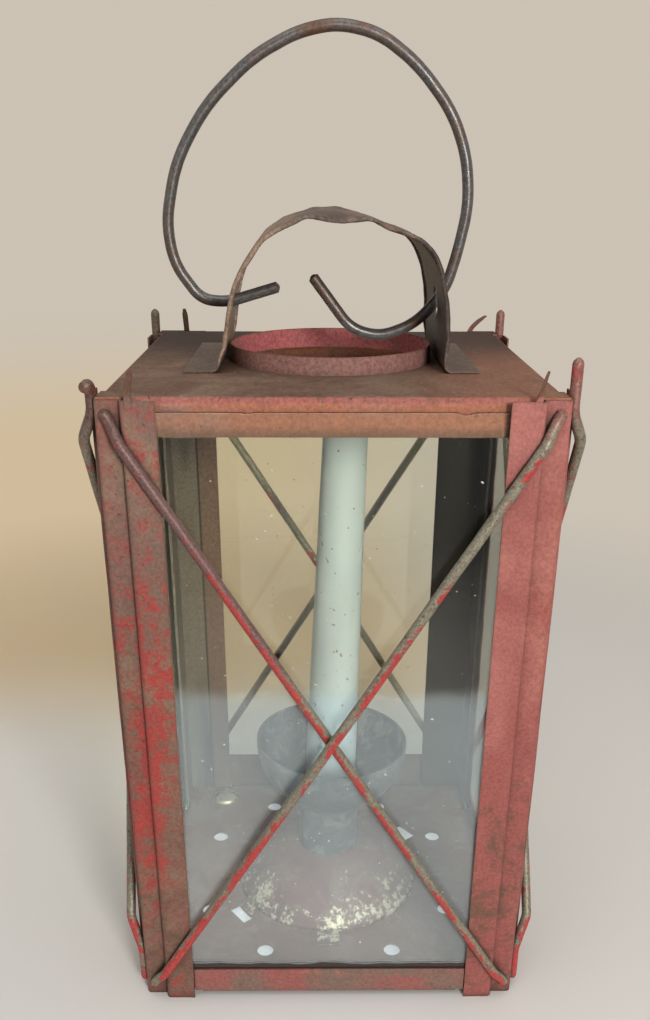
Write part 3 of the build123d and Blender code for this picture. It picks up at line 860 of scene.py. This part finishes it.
def candle_wax():
    """Cool white wax with a few dark specks."""
    wax = Finish("Candle wax", "wax")
    fields = wax.noise(45, 4, 0.5, place=wax.stretched(1.0, 1.0, 0.3))
    wax.over([min(1.0, channel * 1.10) for channel in wax.colours.wax], fields, 0.35, 0.65)
    wax.over("worn_brown", wax.noise(480, 1, 0.4), 0.715, 0.745, 0.8)
    wax.shade({"Subsurface Weight": 0.25, "Subsurface Radius": (1.0, 0.9, 0.7), "Subsurface Scale": 3 * MM})
    wax.relief(fields, 0.5, 0.3)
    return wax.surface(0.42)


def bright_solder():
    """Shiny tin of the floor's drop, brown in its hollows."""
    tin = Finish("Bright solder", "bare_tin")
    mottle = tin.noise(300, 5, 0.7)
    tin.over("rust", mottle, 0.52, 0.36)
    tin.relief(mottle, 0.15, 0.5)
    return tin.surface(0.32, 0.8)


def dust_fleck():
    dust = Finish("Pale dust fleck", "dust")
    dust.over((0.60, 0.59, 0.55), dust.noise(500, 2), 0.4, 0.6)
    return dust.surface(0.9)


def cotton():
    wick = Finish("Wick cotton", "dust")
    twist = wick.noise(900, 3, 0.6)
    wick.over("wax", twist, 0.4, 0.65)
    wick.relief(twist, 0.15, 0.7)
    return wick.surface(0.9)


def post_sheet(turn, dent):
    """Folded sheet of a corner post: gently dented, its free edges a little wavy."""
    outline = [(LIP_EDGE, LIP_FACE), (STEP_AT, LIP_FACE), (STEP_AT, BODY), (BODY, BODY), (BODY, STEP_AT),
               (LIP_FACE, STEP_AT), (LIP_FACE, LIP_EDGE)]
    route = rounded(outline, SHEET_STEP, FOLD)
    rows = []
    for step in range(POST_ROWS + 1):
        z = (ROOF_TOP - SHEET) * step / POST_ROWS
        row = []
        for at, out in route:
            place = Vector((at.x, at.y, z))
            depth = 0.5 + 0.5 * rough(place, 38, turn) + 0.25 * rough(place, 120, turn)
            free = exp(-((min(at.x, at.y) - LIP_EDGE) / (2.5 * MM)) ** 2)
            wave = 1.6 * free * abs(rough((0, 0, z), 55, turn + at.x * 90))
            row.append(place + Vector((out.x, out.y, 0)) * dent * (max(0.0, depth) + wave))
        rows.append(row)
    return baked(lattice(rows), ("SOLIDIFY", {"thickness": SHEET, "offset": -1.0}))


def post_tab(lean, twist):
    """Tab that stands on a post's lip, leaning along it and twisted."""
    middle = STEP_AT - FOLD - TAB_WIDTH / 2
    start = ROOF_TOP - SHEET - TAB_WIDTH
    rows = []
    for step in range(TAB_ROWS + 1):
        rise = step / TAB_ROWS
        width = TAB_WIDTH * (1 - 0.5 * ramp(rise, 0.8, 1.0))
        angle = radians(twist) * ramp(rise, 0.2, 0.6)
        sway = lean * TAB_RISE * rise ** 2
        z = start + (TAB_WIDTH + TAB_RISE * cos(min(1.2, abs(lean)))) * rise
        row = []
        for across in range(4):
            off = (across / 3 - 0.5) * width
            row.append((middle + sway + off * cos(angle), LIP_FACE + 0.15 * MM - off * sin(angle), z))
        rows.append(row)
    return baked(lattice(rows), ("SOLIDIFY", {"thickness": SHEET, "offset": -1.0}))


def post_mesh(corner, dent):
    """Corner post with its tab on the front or back lip."""
    turn = CORNERS[corner]
    tab = post_tab(*TABS[corner])
    if turn in (90, 270):
        tab.transform(Matrix(((0, 1, 0, 0), (1, 0, 0, 0), (0, 0, 1, 0), (0, 0, 0, 1))))
        tab.flip_normals()
    mesh = merged([post_sheet(turn, dent), tab])
    mesh.transform(Matrix.Rotation(radians(turn), 4, "Z"))
    soft(mesh)
    return mesh


class LANTERN_OT_body(bpy.types.Operator):
    """Shape the corner posts, and finish the inner angles and bottom rails"""

    bl_idname = "lantern.body"
    bl_label = "Body Tin"

    def execute(self, context):
        paint = red_tin()
        for corner in CORNERS:
            mesh = post_mesh(corner, context.scene.lantern_sizes.post_dent)
            finished(f"worn_post_{corner}", mesh, paint, f"corner_post_{corner}")
        wear(rail_tin(), "bottom_rail")
        wear(sooty_tin(), "inner_angle")
        return {"FINISHED"}


class LANTERN_OT_roof(bpy.types.Operator):
    """Finish the roof and the chimney collar"""

    bl_idname = "lantern.roof"
    bl_label = "Roof and Collar"

    def execute(self, context):
        wear(roof_tin(), "roof_panel")
        wear(collar_tin(), "chimney_collar")
        return {"FINISHED"}


def hood_section(rim):
    """Closed section across the strap, as (front to back, outward) pairs; rim is 0 flat to 1 folded."""
    half = HOOD_HIGH.y
    thick = HOOD_SHEET + rim * (HOOD_RIM - HOOD_SHEET)
    turns = [pi * step / 8 for step in range(9)]
    nose = [(half - thick / 2 + thick / 2 * sin(t), thick / 2 * (cos(t) - 1)) for t in turns]
    flat_end = half - HOOD_RIM_WIDTH
    back = [(flat_end * step / 10, 0.0) for step in range(10)] + nose
    back += [(flat_end, -thick), (flat_end - 0.2 * MM, -HOOD_SHEET)]
    back += [(flat_end * (9 - step) / 10, -HOOD_SHEET) for step in range(10)]
    front = [(-y, out) for y, out in reversed(back[1:-1])]
    return back + front


def hood_mesh(rim_wave):
    """Arched strap with folded edges, bent by hand: wavy rims, a slight turn and a pinch at the crown."""
    sole = HOOD_LOW.z + HOOD_SHEET
    arch = [(x * MM, ROOF_TOP + z * MM) for x, z in HOOD_FACE[1:-1]]
    left, right = HOOD_FACE[0][0] * MM, HOOD_FACE[-1][0] * MM
    fold = HOOD_FOOT_FOLD
    outline = [(HOOD_LOW.x, sole), (left - fold, sole), (left + 0.17 * fold, sole + fold), *arch]
    outline += [(right, sole + fold), (right + fold, sole), (HOOD_HIGH.x, sole)]
    rows = []
    for at, normal in rounded(outline, SHEET_STEP, 1.0):
        out = Vector((normal.x, 0, normal.y))
        rim = ramp(at.y - sole, 3 * MM, 8 * MM)
        high = ramp(at.y, HOOD_HIGH.z - 8 * MM, HOOD_HIGH.z - 4 * MM)
        off = (at.x - PINCH_AT) / PINCH_WIDTH
        pinch = high * exp(-off ** 2)
        shoulder = high * exp(-((abs(off) - 1.35) / 0.4) ** 2)
        row = []
        for y, lift in hood_section(rim * (1 - 0.45 * shoulder)):
            side = abs(y) / HOOD_HIGH.y
            edge = side ** 4 * (1 if y > 0 else -1.3)
            place = Vector((at.x - 0.018 * y * rim, y, at.y))
            ripple = rough(place, 75, 3) + 0.7 * rough(place, 230, 5)
            buckle = 0.3 * MM * rough(place, 40, 8)
            crimp = edge * (0.85 * pinch - 0.35 * shoulder) * MM
            place += out * (lift + rim * (side ** 6 * ripple * rim_wave + buckle + crimp) - 0.9 * MM * high)
            place.y += rim * side ** 8 * (0.4 * rough(place, 90, 9) - 0.3 * (y > 0)) * MM
            row.append(place)
        rows.append(row)
    strap = lattice(rows, closed=True, caps=True)
    cuts = []
    for eye, radius in EYES.items():
        turns = [2 * pi * step / EYE_SIDES for step in range(EYE_SIDES)]
        ring = [(radius * cos(t), radius * sin(t)) for t in turns]
        ends = (eye - 6 * MM, eye + 6 * MM)
        cutter = lattice([[(x, y, PIVOT_Z + z) for y, z in ring] for x in ends], closed=True, caps=True)
        settings = {"operation": "DIFFERENCE", "solver": "EXACT", "object": linked("cutter", cutter)}
        cuts.append(("BOOLEAN", settings))
    mesh = baked(strap, *cuts)
    for _, settings in cuts:
        bpy.data.objects.remove(settings["object"])
    soft(mesh, 50)
    return mesh


def bail_route():
    left, right = EYES
    points = [(x * MM + left, 0, PIVOT_Z + z * MM) for x, z in BAIL_LEFT]
    return points + [(x * MM + right, 0, PIVOT_Z + z * MM) for x, z in BAIL_RIGHT]


class LANTERN_OT_hood(bpy.types.Operator):
    """Shape the chimney hood and the bail"""

    bl_idname = "lantern.hood"
    bl_label = "Hood and Bail"

    def execute(self, context):
        hood = hood_mesh(context.scene.lantern_sizes.rim_wave)
        finished("bent_hood", hood, hood_steel(), "chimney_hood")
        steel = bail_wire()
        route = bail_route()
        mesh = bent_wire_recipe().grow(
            polyline(route, [1.0] * len(route)), Diameter=BAIL_WIRE, Ease=0.8 * MM, Wander=0.25 * MM,
            Pits=0.12 * MM, Seed=1.0, Material=steel,
        )
        soft(mesh, 50)
        finished("bent_bail", mesh, steel, "bail_handle")
        return {"FINISHED"}


# Guard wires, set out on the front face: distances in from the body's corner and from the roof or floor
WIRE_END_IN = 2.0 * MM
WIRE_END_TOP = 3.5 * MM
WIRE_END_LOW = 5.0 * MM
WIRE_JOG = 1.9 * MM
WIRE_CLEAR = 1.0 * MM
WIRE_KNEE = 1.4 * MM
PIN_IN = 3.6 * MM
PIN_RISE = {"front": 11.0 * MM, "back": 9.0 * MM}
PIN_FORWARD = 8.0 * MM
PIN_TURN = 5.0 * MM
SIDE_BULGE = 1.6 * MM
SIDE_TOP = 14.0 * MM
SIDE_LOW = 31.0 * MM
SIDE_FOOT = 3.0 * MM
SIDE_FOOT_RUN = 15.0 * MM
ON_STRIP = BODY + WIRE / 2 + WIRE_GAP
OVER = WIRE + 2 * WIRE_GAP


def face_route(side, outer):
    """Wire across the front or back: its ends lie on the corner strips, and it rises over the lips."""
    end = BODY - WIRE_END_IN
    top = ROOF_TOP - WIRE_END_TOP
    middle = (top + WIRE_END_LOW) / 2
    slope = (top - WIRE_END_LOW) / (2 * end)
    on_lip = LIP_FACE + WIRE / 2 + WIRE_GAP
    clear = STEP_AT + WIRE_CLEAR
    stops = [(end, ON_STRIP, 0.0), (end - WIRE_JOG, ON_STRIP, 0.0), (clear, on_lip, -WIRE_KNEE)]
    crossing = [(0.0, on_lip + OVER, 0.0)] if outer else []
    stops += crossing + [(-x, depth, drop / 2) for x, depth, drop in reversed(stops)]
    return [(side * x, -depth, middle + slope * x + drop) for x, depth, drop in stops]


def side_route(side, outer, rise):
    """Wire across a side: its ends stand in the corners, the upper one a pin, or bent forward."""
    pin = BODY - PIN_IN
    on_lip = LIP_FACE + WIRE / 2 + SIDE_BULGE
    clear = STEP_AT + WIRE_CLEAR
    top = ROOF_TOP - SIDE_TOP
    stops = [(pin, ON_STRIP, ROOF_TOP + rise)]
    if not rise:
        stops = [(pin + PIN_FORWARD, ON_STRIP, ROOF_TOP + WIRE), (pin, ON_STRIP, ROOF_TOP + WIRE)]
    stops += [(pin, ON_STRIP, ROOF_TOP - PIN_TURN), (clear, on_lip, top)]
    if outer:
        stops.append((0.0, on_lip + OVER, (top + SIDE_LOW) / 2))
    stops += [(-clear, on_lip, SIDE_LOW), (-pin, ON_STRIP, SIDE_FOOT + SIDE_FOOT_RUN)]
    stops.append((-pin, ON_STRIP, SIDE_FOOT))
    return [(side * x, -depth, z) for x, depth, z in stops]


class LANTERN_OT_wires(bpy.types.Operator):
    """Shape the guard wires"""

    bl_idname = "lantern.wires"
    bl_label = "Guard Wires"

    def execute(self, context):
        sizes = context.scene.lantern_sizes
        recipe = bent_wire_recipe()
        routes = {}
        for face in ("front", "back"):
            routes[f"{face}_inner"] = turned(face_route(-1, False), FACES[face])
            routes[f"{face}_outer"] = turned(face_route(1, True), FACES[face])
        routes["right_inner"] = turned(side_route(1, False, PIN_RISE["back"]), FACES["right"])
        routes["right_outer"] = turned(side_route(-1, True, PIN_RISE["front"]), FACES["right"])
        routes["left_inner"] = turned(side_route(1, False, 0.0), FACES["left"])
        routes["left_outer"] = turned(side_route(-1, True, PIN_RISE["back"]), FACES["left"])
        flaked = flaked_wire()
        for seed, (name, route) in enumerate(routes.items()):
            upright = "right" in name or "left" in name
            bend = SIDE_BEND if upright else WIRE_BEND
            bends = [CROSSING_BEND if abs(place.x) < MM or abs(place.y) < MM else bend for place in route]
            ease = 1.9 * MM if upright and name != "left_inner" else 0.5 * MM
            mesh = recipe.grow(
                polyline(route, bends), Diameter=WIRE, Ease=ease, Wander=sizes.wire_wander,
                Pits=sizes.wire_pits, Seed=3.0 + seed, Material=flaked,
            )
            soft(mesh, 50)
            finished(f"flaked_wire_{name}", mesh, flaked, f"guard_wire_{name}")
        return {"FINISHED"}


def pane_mesh(seed, chip_depth):
    """Hand-cut pane set out on the front: its upper edge is nibbled, its other edges slightly ground."""
    half, low, top = PANE_HIGH.x, PANE_LOW.z, PANE_HIGH.z
    outer, inner = PANE_LOW.y, PANE_HIGH.y
    ease = PANE_EASE
    edge = [(half - ease, low), (half, low + ease), (half, top - 1.2 * MM)]
    for step in range(1, PANE_STEPS):
        x = half - 2 * half * step / PANE_STEPS
        chip = max(0.0, rough((x, 0, seed), 140, seed) - 0.25) * chip_depth
        chip += 0.12 * MM * abs(rough((x, 0, 0), 900, seed))
        edge.append((x, top - ease - chip))
    edge += [(-half, top - 1.2 * MM), (-half, low + ease), (-half + ease, low)]
    centre = Vector((0, (low + top) / 2))
    rows = []
    for depth, inset in ((outer, ease), (outer + ease, 0.0), (inner - ease, 0.0), (inner, ease)):
        row = []
        for x, z in edge:
            pull = (centre - Vector((x, z))).normalized() * inset
            row.append((x + pull.x, depth, z + pull.y))
        rows.append(row)
    mesh = lattice(rows, closed=True, caps=True)
    mesh.flip_normals()
    return mesh


class LANTERN_OT_panes(bpy.types.Operator):
    """Shape the glass panes and scatter dust on them"""

    bl_idname = "lantern.panes"
    bl_label = "Glass Panes"

    def execute(self, context):
        sizes = context.scene.lantern_sizes
        glass = old_glass()
        dust = dust_fleck()
        flecks = fleck_recipe()
        half, low, top = LIP_EDGE - FLECKS_IN, PANE_LOW.z + 5 * FLECKS_IN, ROOF_LOW.z - FLECKS_IN
        for seed, (face, turn) in enumerate(FACES.items()):
            spin = Matrix.Rotation(radians(turn), 4, "Z")
            pane = pane_mesh(seed + 2.0, sizes.glass_chip)
            pane.transform(spin)
            finished(f"old_pane_{face}", pane, glass, f"glass_pane_{face}")
            field = bpy.data.meshes.new("field")
            outer = PANE_LOW.y - 0.02 * MM
            corners = [(-half, outer, low), (half, outer, low), (half, outer, top), (-half, outer, top)]
            field.from_pydata(corners, [], [(0, 1, 2, 3)])
            field.transform(spin)
            mesh = flecks.grow(
                field, Density=sizes.fleck_density, Size=sizes.fleck_size, Seed=11 + seed, Material=dust
            )
            place_piece(f"dust_flecks_{face}", mesh, dust, f"pane_{face}")
        return {"FINISHED"}


CANDLE_RADIUS = 11.3 * MM
CANDLE_TIP = 8.2 * MM
SHOULDER = 3 * MM           # height of the rounding at the candle's top
WICK_HOLLOW = 1.8 * MM
DROP_PLACE = Vector((-50.7, 58.0, 0.0)) * MM
DROP_RISE = 3.2 * MM


def turned_mesh(profile, sides, shape):
    """Mesh round the Z axis for a profile of (radius, height), its points shaped by a function."""
    turns = [2 * pi * step / sides for step in range(sides)]
    rows = [[shape(Vector((radius * cos(t), radius * sin(t), z))) for t in turns] for radius, z in profile]
    mesh = lattice(rows, closed=True, caps=True)
    soft(mesh, 60)
    return mesh


def candle_mesh():
    """Hand-made taper: a little bent and lumpy, with a softened shoulder round the wick."""
    low = CANDLE_LOW.z + 0.4 * MM
    top = CANDLE_HIGH.z - 0.35 * MM
    shoulder = top - SHOULDER
    profile = [(0.3 * CANDLE_RADIUS, low), (CANDLE_RADIUS, low)]
    for step in range(1, CANDLE_ROWS + 1):
        share = step / CANDLE_ROWS
        radius = CANDLE_RADIUS + (CANDLE_TIP - CANDLE_RADIUS) * share
        profile.append((radius, low + (shoulder - low) * share))
    for t in (pi / 2 * step / SHOULDER_ROWS for step in range(1, SHOULDER_ROWS + 1)):
        radius = WICK_HOLLOW + (CANDLE_TIP - WICK_HOLLOW) * cos(t)
        profile.append((radius, shoulder + SHOULDER * sin(t)))
    profile.append((0.9 * MM, top - 0.6 * MM))
    dome_top = Vector((0, 0, LEAN_FROM))
    tilt = Matrix.Translation(dome_top) @ Matrix.Rotation(LEAN, 4, "Y") @ Matrix.Translation(-dome_top)

    def shape(place):
        free = ramp(place.z, 80 * MM, 140 * MM)
        lump = free * (0.10 * rough(place, 60, 4) + 0.05 * rough(place, 170, 6)) * MM
        place = place + Vector((place.x, place.y, 0)).normalized() * lump
        place.x += free * 0.25 * MM * rough((0, 0, place.z), 16, 1)
        return tilt @ place

    return turned_mesh(profile, CANDLE_SIDES, shape)


def drop_mesh(radius):
    """Low round drop of hardened solder on the floor."""
    profile = []
    for t in (pi / 2 * step / DROP_ROWS for step in range(DROP_ROWS)):
        profile.append((radius * cos(t) ** 0.8, FLOOR_HIGH.z + DROP_RISE * sin(t)))
    profile.append((0.05 * MM, FLOOR_HIGH.z + DROP_RISE))

    def shape(place):
        lump = 1.0 + 0.10 * rough(place, 120, 2)
        return Vector((place.x * lump, place.y * lump, place.z)) + DROP_PLACE

    return turned_mesh(profile, DROP_SIDES, shape)


class LANTERN_OT_holder(bpy.types.Operator):
    """Shape the candle, and finish the floor and the candle holder"""

    bl_idname = "lantern.holder"
    bl_label = "Floor and Candle"

    def execute(self, context):
        wear(floor_tin(), "floor_plate")
        wear(dome_tin(), "candle_dome", "holder_base")
        wear(grey_tin(), "candle_socket", "drip_cup")
        finished("lumpy_candle", candle_mesh(), candle_wax(), "candle")
        wear(cotton(), "candle_wick")
        drop = drop_mesh(context.scene.lantern_sizes.drop_radius)
        place_piece("floor_drop", drop, bright_solder(), "lantern")
        return {"FINISHED"}


# The photograph's camera, in the lantern's frame
CAMERA_PLACE = Vector((-5.35, -360.69, 288.16)) * MM
CAMERA_DOWN = radians(24.828)
CAMERA_YAW = radians(0.618)
CAMERA_ROLL = radians(0.242)
FRAME_HEIGHT = 1020
FOCAL_PIXELS = 983.16
MIDDLE_PIXEL = 633.9
SENSOR = 36.0

LAMP_AIM = Vector((0.0, 0.0, 0.13))
FLOOR_REACH = 1.2
ROOM = (0.20, 0.195, 0.19)  # light from behind the camera

# Each lamp's place, size, power and colour
LAMPS = {
    "Key": ((0.29, -0.86, 0.45), 0.20, 6.2, (1.0, 0.965, 0.91)),
    "Fill": ((-0.75, -0.55, 0.55), 0.70, 0.7, (1.0, 0.98, 0.95)),
    "Top": ((0.0, -0.35, 1.30), 1.00, 6.0, (0.97, 0.98, 1.0)),
}


class LANTERN_OT_stage(bpy.types.Operator):
    """Set up the camera, the lamps, the floor and the background"""

    bl_idname = "lantern.stage"
    bl_label = "Stage"

    def execute(self, context):
        scene = context.scene
        scene.view_settings.view_transform = "Standard"
        self.camera(scene)
        self.lamps()
        self.world(scene)
        self.floor()
        return {"FINISHED"}

    def camera(self, scene):
        data = bpy.data.cameras.new("Camera")
        data.sensor_width = SENSOR
        data.lens = FOCAL_PIXELS / FRAME_HEIGHT * SENSOR
        data.shift_y = (MIDDLE_PIXEL - FRAME_HEIGHT / 2) / FRAME_HEIGHT
        data.clip_start = 0.01
        camera = linked("Camera", data)
        turn = Matrix.Rotation(-CAMERA_YAW, 4, "Z") @ Matrix.Rotation(radians(90) - CAMERA_DOWN, 4, "X")
        turn = turn @ Matrix.Rotation(CAMERA_ROLL, 4, "Z")
        camera.matrix_world = Matrix.Translation(CAMERA_PLACE) @ turn
        scene.camera = camera

    def lamps(self):
        for name, (place, size, power, tone) in LAMPS.items():
            data = bpy.data.lights.new(name, "AREA")
            data.size = size
            data.energy = power
            data.color = tone
            lamp = linked(name, data)
            lamp.location = place
            lamp.rotation_euler = (LAMP_AIM - lamp.location).to_track_quat("-Z", "Y").to_euler()

    def world(self, scene):
        backdrop = Backdrop("Studio", "backdrop")
        # Painted warm shadow low on the left of the background.
        below = backdrop.step(backdrop.axis("Z"), -0.10, -0.24)
        left = backdrop.step(backdrop.axis("X"), 0.18, -0.06)
        backdrop.over("warm_backdrop", backdrop.times(below, left))
        light = backdrop.blend(ROOM, backdrop.base, backdrop.axis("Y"), -0.45, 0.55)
        backdrop.feed(backdrop.tree.nodes["Background"].inputs["Color"], light)
        scene.world = backdrop.world

    def floor(self):
        ends = (-FLOOR_REACH, FLOOR_REACH)
        mesh = lattice([[(x, y, 0) for x in ends] for y in ends])
        mesh.name = "Floor"
        pale = Finish("Pale floor", "floor")
        # Painted warm shadow on the floor behind the lantern.
        behind = pale.step(pale.axis("Y"), 0.08, 0.24)
        pale.over("warm_backdrop", pale.times(behind, pale.step(pale.axis("X"), 0.14, 0.02)))
        # Painted light: the floor under the lantern glows for camera, glossy and transmission rays, so that
        # the vents look bright.
        rays = pale.add("ShaderNodeLightPath")
        seen = pale.plus(rays["Is Camera Ray"], rays["Is Glossy Ray"])
        seen = pale.plus(seen, rays["Is Transmission Ray"])
        away = pale.from_middle(False)
        glow = pale.times(pale.step(away, 0.069, 0.066, 0.32), seen)
        pale.shade({"Emission Color": "floor", "Emission Strength": glow})
        pale.surface(0.8)
        mesh.materials.append(pale.see_through(pale.step(away, 0.26, 0.62), (1.0, 1.0, 1.0)))
        linked("Floor", mesh)


STEPS = (
    LANTERN_OT_body,
    LANTERN_OT_roof,
    LANTERN_OT_hood,
    LANTERN_OT_wires,
    LANTERN_OT_panes,
    LANTERN_OT_holder,
    LANTERN_OT_stage,
)


class LANTERN_PT_sidebar(bpy.types.Panel):
    """Lists the lantern's sizes, colours and steps"""

    bl_idname = "LANTERN_PT_sidebar"
    bl_label = "Tin Candle Lantern"
    bl_space_type = "VIEW_3D"
    bl_region_type = "UI"
    bl_category = "Lantern"

    def draw(self, context):
        scene = context.scene
        for group in (scene.lantern_sizes, scene.lantern_colours):
            for name in type(group).__annotations__:
                self.layout.prop(group, name)
        for step in STEPS:
            self.layout.operator(step.bl_idname)


CLASSES = (LanternSizes, LanternColours, *STEPS, LANTERN_PT_sidebar)


def register():
    for kind in CLASSES:
        bpy.utils.register_class(kind)
    bpy.types.Scene.lantern_sizes = bpy.props.PointerProperty(type=LanternSizes)
    bpy.types.Scene.lantern_colours = bpy.props.PointerProperty(type=LanternColours)


def unregister():
    del bpy.types.Scene.lantern_colours
    del bpy.types.Scene.lantern_sizes
    for kind in reversed(CLASSES):
        bpy.utils.unregister_class(kind)


def main():
    register()
    for step in STEPS:
        group, name = step.bl_idname.split(".")
        getattr(getattr(bpy.ops, group), name)()


if __name__ == "__main__":
    main()
